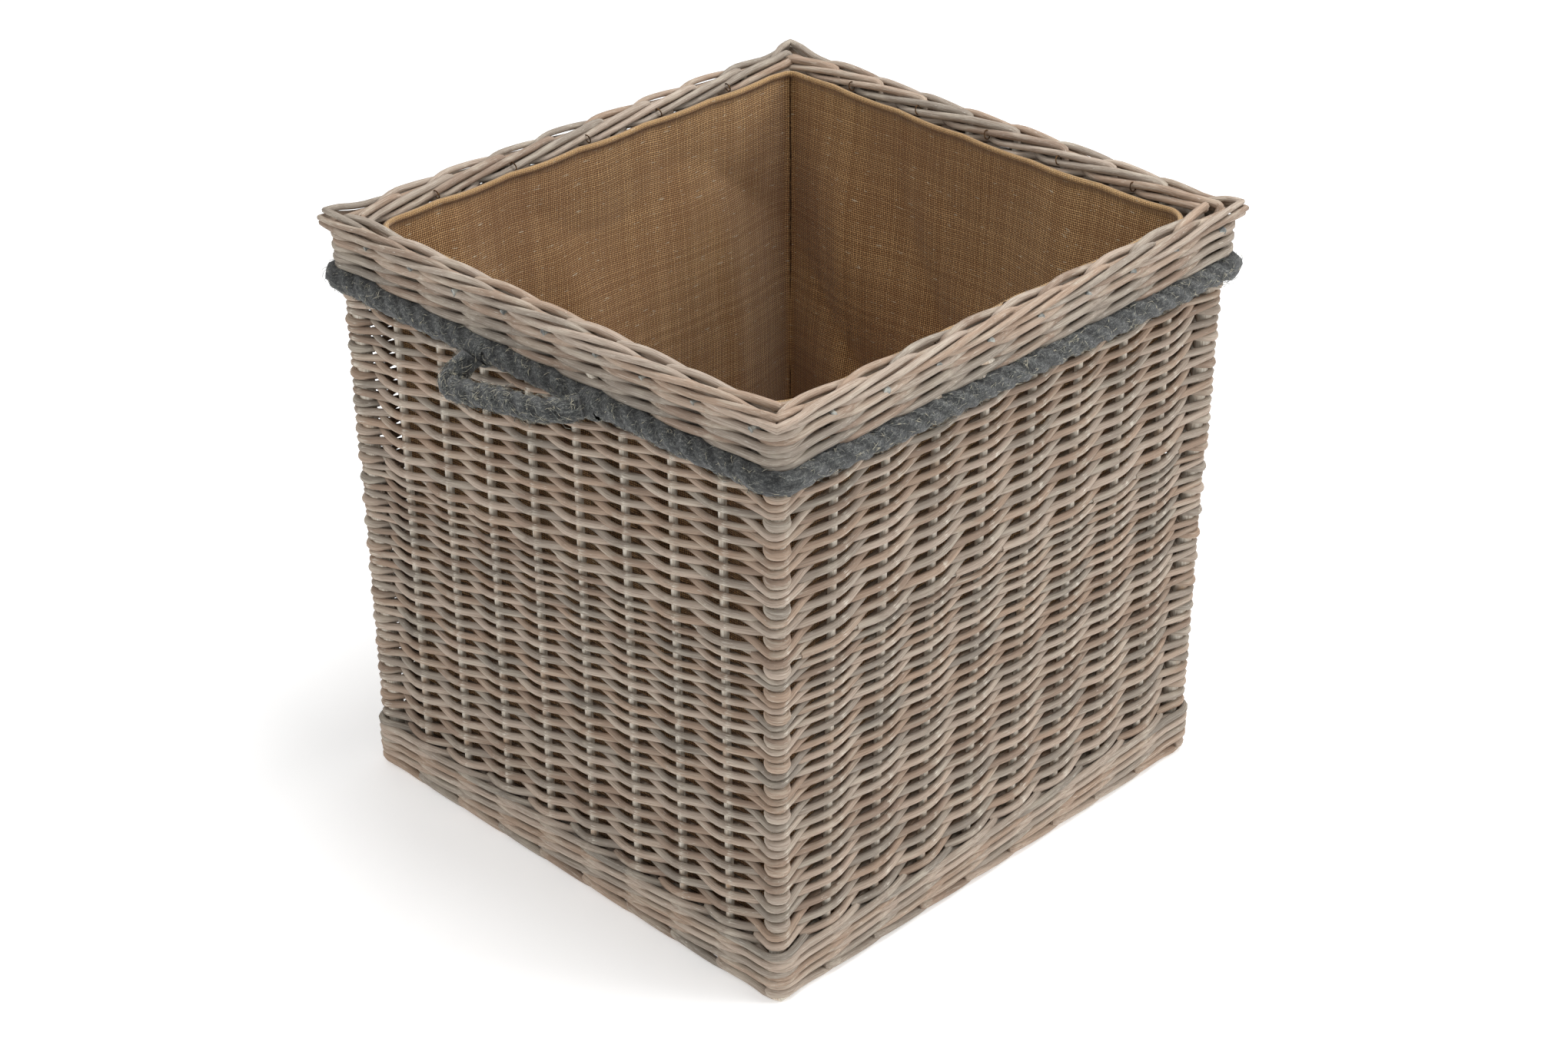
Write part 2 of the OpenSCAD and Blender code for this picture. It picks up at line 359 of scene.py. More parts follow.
# %% [markdown]
# ## Rods
# A rod is a curve with a round bevel and a radius at every point, so it can taper from its
# butt to its tip. Each one is turned into mesh by itself and added to a bmesh, because then
# its tint, its length and how bruised its bark is can be written on its own vertices.

# %% Rod maker
SOUND_BARK = 0.25


def new_bundle():
    return {"bm": bmesh.new(), "tints": [], "spans": [], "bruises": []}


def tube_mesh(name, lines, sides, caps):
    """A mesh with one round tube for each pair of points and radii."""
    curve = bpy.data.curves.new(name, "CURVE")
    curve.dimensions = "3D"
    curve.bevel_depth = 1.0
    curve.bevel_resolution = sides
    curve.use_fill_caps = caps
    for points, radii in lines:
        line = curve.splines.new("POLY")
        line.points.add(len(points) - 1)
        line.points.foreach_set("co", [c for p in points for c in (*p, 1.0)])
        line.points.foreach_set("radius", radii)
    scratch = bpy.data.objects.new(name, curve)
    mesh = bpy.data.meshes.new_from_object(scratch)
    mesh.name = name
    bpy.data.objects.remove(scratch)
    bpy.data.curves.remove(curve)
    return mesh


def length_of(points):
    return sum((b - a).length for a, b in zip(points, points[1:]))


def add_rod(bundle, points, radii, tint, sides=2, bruise=None):
    """Add one rod to a bundle. A bruise at each point goes to that point's ring of vertices."""
    mesh = tube_mesh("rod", [(points, radii)], sides, True)
    bundle["bm"].from_mesh(mesh)
    count = len(mesh.vertices)
    ring = 4 + 2 * sides
    last = len(points) - 1
    marks = bruise or [SOUND_BARK] * len(points)
    bundle["tints"] += [tint] * count
    bundle["spans"] += [length_of(points)] * count
    bundle["bruises"] += [marks[min(i // ring, last)] for i in range(count)]
    bpy.data.meshes.remove(mesh)


# %% [markdown]
# Every piece of the basket ends the same way: its mesh gets its finish, the piece gets the
# body that it rides on, and the CAD nodes that it stands for are hidden. A bundle of rods
# first has its numbers written on its vertices, and its flat cut ends stay flat.

# %% Piece maker
def add_piece(name, mesh, material, body, slot, *replaced):
    mesh.materials.append(material)
    piece = new_object(name, mesh)
    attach(piece, body)
    if replaced:
        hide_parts(*replaced)
    print(name, "triangles:", sum(len(p.vertices) - 2 for p in mesh.polygons))
    return piece


def finish_bundle(name, bundle, material, *replaced):
    mesh = bpy.data.meshes.new(name)
    bundle["bm"].to_mesh(mesh)
    bundle["bm"].free()
    for attribute, values in (("tint", bundle["tints"]), ("span", bundle["spans"]),
                              ("bruise", bundle["bruises"])):
        mesh.attributes.new(attribute, "FLOAT", "POINT").data.foreach_set("value", values)
    mesh.polygons.foreach_set("use_smooth", [len(p.vertices) == 4 for p in mesh.polygons])
    add_piece(name, mesh, material, "basket", "willow", *replaced)


# %% [markdown]
# ## The woven walls
# The walls are randed: one rod starts behind every stake, and each goes in front of one
# stake and behind the next, climbing its own thickness every gap. So all the rods in front
# of a stake lie at the same heights as at every other stake. The rods are longer than the
# basket is round, and when the first set runs out thin a second set starts with thick ends.

# %% Layers of the weave
WEAVE_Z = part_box("bottom_wale")[1][2]
JOIN_Z = 0.292
WEAVE_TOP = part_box("weave_front")[1][2]
# Lowest and highest point of each set of rods, its rows, and how much its rods taper
LAYERS = ((WEAVE_Z, JOIN_Z, 44, 0.18), (JOIN_Z, WEAVE_TOP, 24, 0.10))
WALL_NODES = ("weave_front", "weave_right", "weave_back", "weave_left")
SHARES = (0.0, 0.06, 0.12, 0.25, 0.5, 0.75, 0.88, 0.94)
BEND_SHARPNESS = 1.75


def wave(progress):
    """1 in front of an upright, -1 behind the next one, with a fairly sharp bend at each."""
    away = abs((progress + 0.5) % 1.0 - 0.5)
    sign = 1 if round(progress) % 2 == 0 else -1
    return sign * (1 - (2 * away) ** BEND_SHARPNESS)


def rod_height(layer, level):
    """Height of a rod's middle once it has climbed a number of rows."""
    low, high, rows, taper = layer
    return low + (high - low) / rows * (level + taper * level * (1 - level / rows))


print("weave from", round(WEAVE_Z, 3), "to", round(WEAVE_TOP, 3), "m in", len(LAYERS), "layers")

# %% [markdown]
# A layer is one loop over its starting stakes. At each place the rod gets its height, its
# thickness, its distance in or out, and a bruise where it crosses from front to back and its
# bark is creased. A little noise keeps the rows from being perfect.

# %% Randed walls
# A rod fills its row, presses into the stakes, and pairs up with the next one at a corner
ROD_FILL = 0.99
PRESSED = 0.9
CORNER_LIFT = 0.4


def rand_layer(layer, seed):
    """One rod per starting stake; its thickness falls from butt to tip and fills the height."""
    low, high, rows, taper = layer
    rng = random.Random(seed)
    pitch = (high - low) / rows
    bundles = [new_bundle() for _ in WALL_NODES]
    for start in range(ROUND):
        points, radii, bruises = [], [], []
        drift = rng.uniform(-1, 1)
        for p in (gap + share for gap in range(-1, rows) for share in SHARES):
            if p < -0.5 or p > rows - 0.5:
                continue
            level = p + 0.5
            ripple = noise.noise(Vector((start + p, level * 0.9 + seed, drift * 9)))
            z = rod_height(layer, level) + ripple * MM
            corner = round((start + p) / GAPS) * GAPS - start
            close = abs(p - corner) / 0.6
            if close < 1 and corner % 2 == 0:
                z += (1 - close * close) * CORNER_LIFT * pitch * (1 - corner % 4)
            thick = pitch * (1 + taper * (1 - 2 * level / rows))
            uneven = 0.09 * noise.noise(Vector((p * 0.7, start * 3.1, seed)))
            radius = thick / 2 * (ROD_FILL + uneven)
            side = wave(p) * PRESSED * (STAKE_R + radius + 0.3 * MM * ripple)
            points.append(on_ring(start + p, side, z))
            radii.append(radius)
            bruises.append(max(0.0, 1 - abs(abs(wave(p)) - 0.15) * 1.7))
        add_rod(bundles[start // GAPS], points, radii, rng.random(), 2, bruises)
    return bundles


for layer, seed, part in zip(LAYERS, (3, 8), ("lower", "upper")):
    for node, bundle in zip(WALL_NODES, rand_layer(layer, seed)):
        finish_bundle(f"{node}_{part}_rods", bundle, willow, *([node] if part == "lower" else []))

# %% [markdown]
# A round post is twice as thick as a stake, and the rods that turn a corner gape there. The
# maker fills the worst gaps with short wraps: a piece of rod laid round the post with both
# ends tucked in behind the next stakes.

# %% Corner wraps
def corner_wraps(seed):
    rng = random.Random(seed)
    bundle = new_bundle()
    for corner in range(4):
        for layer in LAYERS:
            for row in range(3, layer[2], 4):
                z = rod_height(layer, row + 0.5)
                points, radii = [], []
                for n in range(13):
                    t = n / 6 - 1
                    s = corner * GAPS + t * 0.30
                    side = (5.6 - 8.0 * abs(t) ** 3) * MM
                    points.append(on_ring(s, side, z - t * 0.8 * MM))
                    radii.append((3.8 - 1.3 * t * t) * MM * rng.uniform(0.98, 1.02))
                add_rod(bundle, points, radii, rng.random())
    finish_bundle("corner_wrap_rods", bundle, willow)


corner_wraps(15)

# %% [markdown]
# ## Wales
# A wale is worked with three rods at once. Each passes in front of two uprights and behind
# the third, and the next rod does the same one gap later, so the outside shows a rope of
# long strokes that all climb to the right. One period of a rod's line is written as a short
# table of places, heights and depths, and smooth values are read between its rows.

# %% Wales
def between(keys, x):
    """Values on a smooth line through rows of (place, value, value)."""
    i = max(n for n in range(len(keys) - 1) if keys[n][0] <= x or n == 0)
    width = keys[i + 1][0] - keys[i][0]
    t = (x - keys[i][0]) / width
    before, after = keys[max(0, i - 1)], keys[min(len(keys) - 1, i + 2)]
    values = []
    for column in range(1, len(keys[0])):
        y0, y1 = keys[i][column], keys[i + 1][column]
        m0 = (y1 - before[column]) / (keys[i + 1][0] - before[0]) * width
        m1 = (after[column] - y0) / (after[0] - keys[i][0]) * width
        values.append((2 * t**3 - 3 * t**2 + 1) * y0 + (t**3 - 2 * t**2 + t) * m0
                      + (3 * t**2 - 2 * t**3) * y1 + (t**3 - t**2) * m1)
    return values


# Gap, height in half rows, depth: 1 is the furthest out and -1 is behind the upright
WALE_LINE = ((-0.5, 0.9, 0.45), (0, 0, -1), (0.5, -0.9, 0.1), (1, -0.65, 0.8), (1.5, 0, 1),
             (2, 0.7, 0.92), (2.5, 0.9, 0.45), (3, 0, -1), (3.5, -0.9, 0.1))


def wale(name, node, rows, front, radius, seed, lower=0.0):
    rng = random.Random(seed)
    bundle = new_bundle()
    low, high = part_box(node)[0][2] - lower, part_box(node)[1][2]
    pitch = (high - low) / rows
    for row in range(rows):
        for start in range(3):
            points, radii = [], []
            for step in range(ROUND):
                for share in SHARES:
                    x = step + share
                    rise, depth = between(WALE_LINE, x % 3)
                    ripple = noise.noise(Vector((start + x, row * 5.0, seed)))
                    side = depth * (front if depth > 0 else STAKE_R + radius)
                    z = low + pitch * (row + 0.5 + 0.36 * rise) + ripple * 0.8 * MM
                    points.append(on_ring(start + x, side + ripple * 0.6 * MM, z))
                    radii.append(radius * (1 + 0.12 * noise.noise(Vector((x * 0.4, row * 3.0, start)))))
            add_rod(bundle, points, radii, rng.random())
    finish_bundle(name, bundle, willow, node)


wale("bottom_wale_rods", "bottom_wale", 4, 10.0 * MM, 3.0 * MM, 21)
wale("top_wale_rods", "top_wale", 3, 11.9 * MM, 3.3 * MM, 22, 2 * MM)

# %% [markdown]
# ## The border
# At the rim every stake is bent down to the right. It runs down the inner edge behind its
# neighbours, comes out low on the outside two and a half gaps on, and climbs over the next
# rods to end on top. Thirty-six rods with one line, a gap apart, lock each other in place.
# The tucked ends fill the middle of the border, and one thick rod stands for all of them.

# %% Border rods
# Gap after the stake, height above the floor in mm, distance outside the uprights in mm
BORDER_LINE = ((-0.02, 484, 0.5), (0.0, 490, 2.0), (0.06, 494.6, 3.4), (0.25, 496.3, 1.8),
               (0.5, 496.4, -1.2), (0.8, 495.6, -2.6), (1.1, 493.8, -3.4), (1.5, 490.8, -4.0),
               (2.0, 487.2, -4.6), (2.35, 484.8, -3.6), (2.65, 485.2, 3.0), (2.9, 486.6, 9.0),
               (3.2, 487.2, 11.6), (3.7, 488.8, 12.1), (4.0, 490.8, 12.1), (4.4, 493.7, 11.7),
               (4.7, 495.5, 10.6), (5.0, 496.6, 9.2), (5.2, 496.0, 7.4), (5.35, 494.0, 5.4),
               (5.5, 491.4, 3.8))
CORNER_SHARES = (0.03, 0.06, 0.09, 0.12)
CORE_SIDE = 5.0 * MM
CORE_Z = 491.0 * MM
CORE_R = 3.6 * MM


def border(seed):
    rng = random.Random(seed)
    bundle = new_bundle()
    first, last = BORDER_LINE[0][0], BORDER_LINE[-1][0]
    for start in range(ROUND):
        places = {first, 0.0, 0.06, last} | {k / 8 for k in range(1, int(last * 8) + 1)}
        corner = -start % GAPS
        places |= {corner + way * d for d in CORNER_SHARES for way in (-1, 1)}
        points, radii = [], []
        thick = 3.25 * MM * rng.uniform(0.9, 1.08)
        lift, push = rng.uniform(-0.5, 0.5) * MM, rng.uniform(-0.6, 0.6) * MM
        for x in sorted(place for place in places if first <= place <= last):
            z, side = between(BORDER_LINE, x)
            ripple = noise.noise(Vector((start * 2.3, x * 0.8, seed)))
            flare = max(0.0, 1 - abs(x - corner) / 0.45) ** 1.5 if side > 5 else 0.0
            points.append(on_ring(start + x, (side + flare * 1.8) * MM + push + ripple * MM,
                                  (z + flare * 3.5) * MM + lift + ripple * 0.5 * MM, 1.0))
            radii.append(thick * (1.0 - 0.04 * x))
        points.append(points[-1] + (points[-1] - points[-2]).normalized() * 1.5 * MM)
        radii.append(radii[-1] * 0.55)
        add_rod(bundle, points, radii, rng.random())
    core = [on_ring(n / 8, CORE_SIDE, CORE_Z) for n in range(ROUND * 8 + 1)]
    add_rod(bundle, core, [CORE_R] * len(core), 0.8)
    finish_bundle("border_rods", bundle, willow, "rim_border")


border(31)

# %% [markdown]
# ## The foot
# The same stakes stick out under the bottom wale, and their ends are woven into a foot that
# the basket stands on. Only one stroke a gap shows: it starts thick under the wale, runs
# down to the floor and tucks in under the next, so a dark wedge is left above its end.

# %% Foot border
# Gap after the stake, height above the floor in mm, distance outside the uprights in mm
FOOT_LINE = ((-0.14, 7.6, 6.6), (0.1, 7.2, 7.4), (0.5, 5.2, 7.0), (0.9, 3.5, 6.0), (1.25, 3.1, 2.5),
             (1.6, 3.2, -3.0), (2.0, 3.4, -6.5))
FOOT_PLACES = (-0.14, -0.1, -0.06, 0.0, 0.06, 0.12, 0.25, 0.4, 0.6, 0.8, 0.94, 1.0, 1.06, 1.25, 1.5,
               1.75, 2.0)


def foot_radius(x):
    """Thickest at the butt, whose end is rounded off, and thinner from the next upright on."""
    butt = 0.62 if x < -0.12 else 0.9 if x < -0.08 else 1.0
    return (4.3 - 1.3 * min(1, max(0, x))) * MM * butt


def foot(seed):
    rng = random.Random(seed)
    bundle = new_bundle()
    for start in range(ROUND):
        points, radii = [], []
        for x in FOOT_PLACES:
            z, side = between(FOOT_LINE, x)
            ripple = noise.noise(Vector((start * 1.7, x, seed))) * 0.5
            points.append(on_ring(start + x, (side + ripple) * MM, z * MM))
            radii.append(foot_radius(x))
        add_rod(bundle, points, radii, rng.random())
    finish_bundle("foot_rods", bundle, willow, "foot_border")


foot(41)

# %% [markdown]
# ## The base
# The base is a flat panel: rods woven over and under seven straight sticks. Each rod runs
# the whole width, and its neighbour takes the opposite way, so a plain check shows.

# %% Woven base
BASE_GAPS = 8
BASE_ROD_R = 2.6 * MM


def base():
    rng = random.Random(51)
    bundle = new_bundle()
    low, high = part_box("base_weave")
    middle, half = (low[2] + high[2]) / 2, (high[2] - low[2]) / 2
    step = 2 * (wall_half(0, 0) - 2 * STAKE_IN) / BASE_GAPS
    count = int((high[1] - low[1]) / (2.06 * BASE_ROD_R))
    pitch = (high[1] - low[1] - 2 * BASE_ROD_R) / (count - 1)
    for row in range(count):
        y = low[1] + BASE_ROD_R + row * pitch
        points, radii = [], []
        for n in range(BASE_GAPS * 6 + 1):
            away = n / 6 - round(n / 6)
            sign = 1 if (round(n / 6) + row) % 2 else -1
            z = middle + sign * (1 - (2 * abs(away)) ** 1.5) * (half - BASE_ROD_R)
            points.append(Vector(((n / 6 - BASE_GAPS / 2) * step, y, z)))
            radii.append(BASE_ROD_R * rng.uniform(0.96, 1.04))
        add_rod(bundle, points, radii, rng.random(), 1)
    finish_bundle("base_rods", bundle, willow, "base_weave")


base()

# %% [markdown]
# ## Stakes, posts and sticks
# The uprights are plain round sticks, and the CAD shape is already right, so they only get
# a paler willow. They have no UV map, so this finish is stretched along Z instead.

# %% Finish of the plain sticks
def stick_finish():
    wood = Finish("pale willow", Specular_IOR_Level=0.35)
    place = wood.add("TexCoord", {}, {}, output=3)
    stretched = wood.add("Mapping", {}, {"Vector": place, "Scale": (1, 1, 0.08)})
    grain = wood.noise(stretched, 900, 4)
    stains = wood.noise(place, 60, 2)
    colour = wood.ramp(grain, (0.3, linear(176, 162, 144)), (0.7, linear(232, 226, 214)))
    dirty = wood.blend(wood.step(stains, 0.5, 0.75) * 0.6, colour, linear(186, 148, 112))
    return wood.finish(Base_Color=dirty, Roughness=0.65 + grain * 0.2, height=(grain, 0.3, 0.0004))


pale_willow = stick_finish()
STICKS = [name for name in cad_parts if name.startswith(("stakes_", "corner_post", "base_sticks"))]
for name in STICKS:
    for stick_slot in bpy.data.objects[name].material_slots:
        stick_slot.material = pale_willow
print("plain sticks:", len(STICKS))

# %% [markdown]
# ## Rope finish
# The rope is soft grey jute: dull, with pale hairs lying every way over its grooves, and
# the grooves get painted shade, darker the deeper they are. The rope's UV map runs along it
# in metres, so its fibres are noise stretched along the rope, laid over a second noise that
# has no direction. Jute has no shine at all.

# %% Rope finish
def rope_finish():
    jute = Finish("grey jute", Roughness=1.0, Specular_IOR_Level=0.1, Sheen_Weight=0.25,
                  Sheen_Roughness=0.6)
    place = jute.add("TexCoord", {}, {}, output=3)
    flow = jute.add("UVMap", {"uv_map": "UVMap"}, {})
    strands = jute.noise(jute.add("Mapping", {}, {"Vector": flow, "Scale": (260, 26, 1)}), 1.0, 4, 0.7)
    felt = jute.noise(place, 900, 4, 0.75)
    clumps = jute.noise(place, 90, 3)
    depth = jute.add("Attribute", {"attribute_name": "groove"}, {}, output=2)
    fuzz = strands * 0.55 + felt * 0.45
    base = jute.ramp(fuzz, (0.36, linear(24, 25, 26)), (0.5, linear(70, 72, 72)),
                     (0.62, linear(138, 139, 134)))
    uneven = jute.blend(jute.step(clumps, 0.4, 0.7) * 0.45, base, linear(44, 46, 48))
    # Painted shade: the grooves between the strands are darkened towards near black, more the deeper they
    # lie
    shaded = jute.blend(depth * 0.95, uneven, linear(10, 11, 12))
    return jute.finish(Base_Color=shaded, height=(fuzz + clumps * 0.6, 0.8, 0.0016))


def fibre_finish(name, dark, middle, light):
    hair = Finish(name, Roughness=0.9, Specular_IOR_Level=0.2)
    place = hair.add("TexCoord", {}, {}, output=3)
    shade = hair.ramp(hair.noise(place, 260, 1), (0.3, linear(*dark)), (0.5, linear(*middle)),
                      (0.66, linear(*light)))
    return hair.finish(Base_Color=shade)


jute = rope_finish()
jute_hairs = fibre_finish("jute hairs", (58, 61, 62), (118, 120, 116), (186, 180, 160))

# %% [markdown]
# ## Twisted rope
# Three strands laid together leave three grooves that wind round the rope. Its outline is
# that of three circles, and its line needs two directions at every place that stay square to
# it and don't spin, so that the twist is all in the strands.

# %% Rope outline
STRAND_AT = 0.40
STRAND_R = 0.62
LAY = 56 * MM


def lobe(angle):
    """Distance of the outline of three circles from the middle, at an angle, for a unit rope."""
    away = (angle + math.pi / 3) % (2 * math.pi / 3) - math.pi / 3
    return STRAND_AT * math.cos(away) + math.sqrt(STRAND_R**2 - (STRAND_AT * math.sin(away)) ** 2)


def frames(points):
    """Outward and upward directions that stay square to a line without spinning round it."""
    side = None
    for i, point in enumerate(points):
        ahead = (points[min(i + 1, len(points) - 1)] - points[max(i - 1, 0)]).normalized()
        if side is None:
            side = ahead.cross(Vector((0, 0, 1))).normalized()
        side = (side - ahead * side.dot(ahead)).normalized()
        yield point, side, side.cross(ahead)


print("rope outline from", round(lobe(math.pi / 3), 2), "to", round(lobe(0), 2), "of its radius")

# %% [markdown]
# A round tube is swept along the rope's line with many rings, and every point is then drawn
# in or out to the outline, turned a little further at each ring. One skin with lobes stays a
# fixed distance from its line, where three separate strands would cross inside it.

# %% Rope skin
def rope_mesh(name, points, radius, turns, seed, closed=False):
    """A lobed tube that winds turns times to the left along its line."""
    mesh = tube_mesh(name, [(points, [radius] * len(points))], 5, not closed)
    total = length_of(points)
    run = 0.0
    lines = []
    for i, (point, side, up) in enumerate(frames(points)):
        run += (point - points[i - 1]).length if i else 0.0
        lines.append((point, side, up, run))
    ring = round(len(mesh.vertices) / len(points))
    groove_shades = []
    for v in mesh.vertices:
        if closed:
            nearest = lines[v.index // ring]
        else:
            nearest = min(lines, key=lambda line: (line[0] - v.co).length_squared)
        point, side, up, run = nearest
        arm = v.co - point
        angle = math.atan2(arm.dot(up), arm.dot(side)) + 2 * math.pi * turns * run / total
        reach = lobe(angle)
        lump = noise.noise(v.co * 160 + Vector((seed, 0, 0))) * 0.09
        v.co = point + arm * (reach + lump)
        # How deep each point lies in a groove, kept so that the finish can paint shade there
        groove_shades.append(max(0.0, (1.0 - reach) / 0.3))
    mesh.attributes.new("groove", "FLOAT", "POINT").data.foreach_set("value", groove_shades)
    uv = mesh.uv_layers["UVMap"]
    for loop in uv.data:
        loop.uv[0] *= total
    mesh.polygons.foreach_set("use_smooth", [True] * len(mesh.polygons))
    return mesh


# %% [markdown]
# Jute sheds short fibres. Each is a line of four points that starts in the rope's skin,
# mostly leans along the rope, arches a little off it and ends thin. They are all one mesh.

# %% Stray fibres
# Length and radius of a fibre in mm, from and to
FIBRE_LONG = (5, 13)
FIBRE_R = (0.12, 0.26)


def hairs_mesh(name, points, radius, count, seed, reach=1.0):
    """Fibres all over a rope of a radius; reach scales how long they are and stand off."""
    rng = random.Random(seed)
    lines = list(frames(points))
    strands = []
    for _ in range(count):
        i = rng.randrange(1, len(lines) - 1)
        point, side, up = lines[i]
        ahead = (lines[i + 1][0] - lines[i - 1][0]).normalized()
        angle = rng.uniform(0, 2 * math.pi)
        lean = rng.gauss(0, 0.8)
        length = rng.uniform(*FIBRE_LONG) * MM * reach
        away = rng.uniform(0.5, 3.0) * MM * reach * (1 if rng.random() < 0.8 else 2)
        hair = []
        for n in range(4):
            t = n / 3
            swing = angle + math.sin(lean) * length * t / radius
            arm = side * math.cos(swing) + up * math.sin(swing)
            arm *= radius * 0.86 + away * math.sin(t * 2.3) * 0.8
            hair.append(point + ahead * math.cos(lean) * length * (t - 0.5) + arm
                        + Vector([rng.uniform(-0.5, 0.5) * MM for _ in range(3)]))
        thick = rng.uniform(*FIBRE_R) * MM
        strands.append((hair, [thick, thick, thick * 0.8, thick * 0.3]))
    return tube_mesh(name, strands, 0, False)


# %% [markdown]
# ## The rope band
# The band lies in a gap between the weave and the top wale, against the stakes, and bulges
# out further than the wale above it. Its line is the ring of uprights again.

# %% Rope band
ROPE_R = (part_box("rope_band")[1][2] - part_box("rope_band")[0][2]) / 2
BAND_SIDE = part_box("rope_band")[1][0] - ROPE_R - wall_half(0, BAND_Z) + STAKE_IN
SKIN_R = ROPE_R * 1.08
# Its two ends meet in the middle of the back wall
BAND_START = 4.5 + 2 * GAPS

band_places = sorted({n / 16 for n in range(ROUND * 16)}
                     | {GAPS * corner + d for corner in range(1, 4) for d in (-0.09, -0.03, 0.03, 0.09)}
                     | {0.03, 0.09, ROUND - 0.09, ROUND - 0.03})
band_line = []
for s in [place + BAND_START for place in band_places]:
    droop = noise.noise(Vector((s * 0.5, 4.0, 0.0)))
    sag = noise.noise(Vector((s * 1.7, 9.0, 0.0)))
    band_line.append(on_ring(s, BAND_SIDE - abs(droop) * 0.8 * MM,
                             BAND_Z + (2.2 + droop + sag * 0.8) * MM))
band_line.append(band_line[0].copy())
band_turns = round(length_of(band_line) / LAY)
add_piece("rope_band_skin", rope_mesh("rope_band_skin", band_line, SKIN_R, band_turns, 61, True),
          jute, "basket", "rope", "rope_band")
add_piece("rope_band_hairs", hairs_mesh("rope_band_hairs", band_line, SKIN_R, 5000, 62),
          jute_hairs, "basket", "rope")
print("band", round(length_of(band_line), 3), "m,", band_turns, "turns")

# %% [markdown]
# ## The handles
# Each handle is one short stiff rope. Its two tails are turned round the band, so it swings
# on the band like a hinge. A tail is seen from all round, so it is a rounded strip, spun once
# round the middle of the band until its ends meet.

# %% Handle tails
BAND_X = wall_half(0, BAND_Z) + BAND_SIDE - STAKE_IN
TAIL_W = 2 * ROPE_R + 1 * MM
TAIL_R = ROPE_R + 2.7 * MM
TAIL_EDGE = ROPE_R + 0.6 * MM
TAIL_CROWN = TAIL_R - ROPE_R - 0.2 * MM
TAIL_AT = 3 * (wall_half(1, BAND_Z) - POST_IN) / GAPS - STAKE_R - 2 * MM - TAIL_W / 2


def tail_mesh(name, sign, y):
    """A flat turn of rope round the band: a rounded strip spun once round the band's middle."""
    bm = bmesh.new()
    bmesh.ops.create_grid(bm, x_segments=10, y_segments=1, size=0.5)
    bmesh.ops.delete(bm, geom=[v for v in bm.verts if v.co.y < 0], context="VERTS")
    for v in bm.verts:
        across = v.co.x * TAIL_W
        crown = math.sqrt(max(0.0, 1 - (2 * v.co.x) ** 4))
        v.co = Vector((-sign * (BAND_X + TAIL_EDGE + TAIL_CROWN * crown), y + across, BAND_Z))
    middle = Vector((-sign * BAND_X, y, BAND_Z))
    bmesh.ops.spin(bm, geom=bm.verts[:] + bm.edges[:], cent=middle, axis=(0, 1, 0),
                   angle=2 * math.pi, steps=64, use_merge=True)
    bmesh.ops.recalc_face_normals(bm, faces=bm.faces)
    uv = bm.loops.layers.uv.new("UVMap")
    for face in bm.faces:
        for loop in face.loops:
            arm = loop.vert.co - middle
            loop[uv].uv = (math.atan2(arm.z, arm.x) * TAIL_R, arm.y * 40)
    for v in bm.verts:
        arm = (v.co - middle) * Vector((1, 0, 1))
        v.co += arm.normalized() * noise.noise(v.co * 300) * 0.5 * MM
    mesh = bpy.data.meshes.new(name)
    bm.to_mesh(mesh)
    bm.free()
    mesh.polygons.foreach_set("use_smooth", [True] * len(mesh.polygons))
    return mesh


# %% [markdown]
# Between its tails the rope hangs out from the wall, lower at one end. Its line is the CAD's
# with two changes, both smaller than the rope is thick: the ends run in under the tails, so
# that no cut end shows, and the low corner is eased, so that the rope bends a little wider.

# %% Handles
# Distance out in mm, share of the way to a tail, height from the middle of the band in mm
HANDLE_LINE = ((-7, 0.97, 0), (-3, 0.99, -4.5), (1.5, 1.03, -9.5), (6.5, 1.06, -14), (11, 1.02, -17),
               (13.2, 0.9, -18), (13.4, 0.75, -17.2), (12.4, 0.5, -14.8), (11, 0.2, -12),
               (10, -0.1, -9.5), (8.5, -0.4, -7), (5.5, -0.65, -4.5), (0, -0.87, -1.5), (-7, -1, 1))
LINE_OUT = ROPE_R + TAIL_R - 1.7 * MM
HANDLE_R = ROPE_R * 1.06


def smooth_line(points, gap):
    """Evenly spaced points on a smooth curve through given ones."""
    keys = [(0.0, *points[0])]
    for a, b in zip(points, points[1:]):
        keys.append((keys[-1][0] + (b - a).length, *b))
    count = max(2, round(keys[-1][0] / gap))
    return [Vector(between(keys, keys[-1][0] * n / count)) for n in range(count + 1)]


def handle(side, sign):
    """One handle: its rope, its stray fibres, and two tails with theirs."""
    body = f"{side}_handle"
    line = smooth_line([Vector((-sign * (BAND_X + LINE_OUT + out * MM), sign * share * TAIL_AT,
                                BAND_Z + up * MM)) for out, share, up in HANDLE_LINE], 2 * MM)
    long = length_of(line)
    skin = add_piece(f"handle_{side}_rope", rope_mesh("handle", line, HANDLE_R, round(long / LAY), 71),
                     jute, body, "rope", f"handle_{side}")
    hairs = add_piece(f"handle_{side}_hairs", hairs_mesh("hairs", line, HANDLE_R, 700, 72, 1.25),
                      jute_hairs, body, "rope")
    for end, at in (("low", 1), ("high", -1)):
        name = f"handle_{side}_{end}_tail"
        y = sign * at * TAIL_AT
        turn = [Vector((-sign * BAND_X, y + (n - 6) / 6 * TAIL_W / 2, BAND_Z)) for n in range(13)]
        add_piece(name, tail_mesh("tail", sign, y), jute, body, "rope")
        add_piece(f"{name}_hairs", hairs_mesh("hairs", turn, TAIL_R, 160, 73, 0.8),
                               jute_hairs, body, "rope")
    2 * ROPE_R
    print(f"{side} handle rope {long:.3f} m")


handle("left", 1)
handle("right", -1)
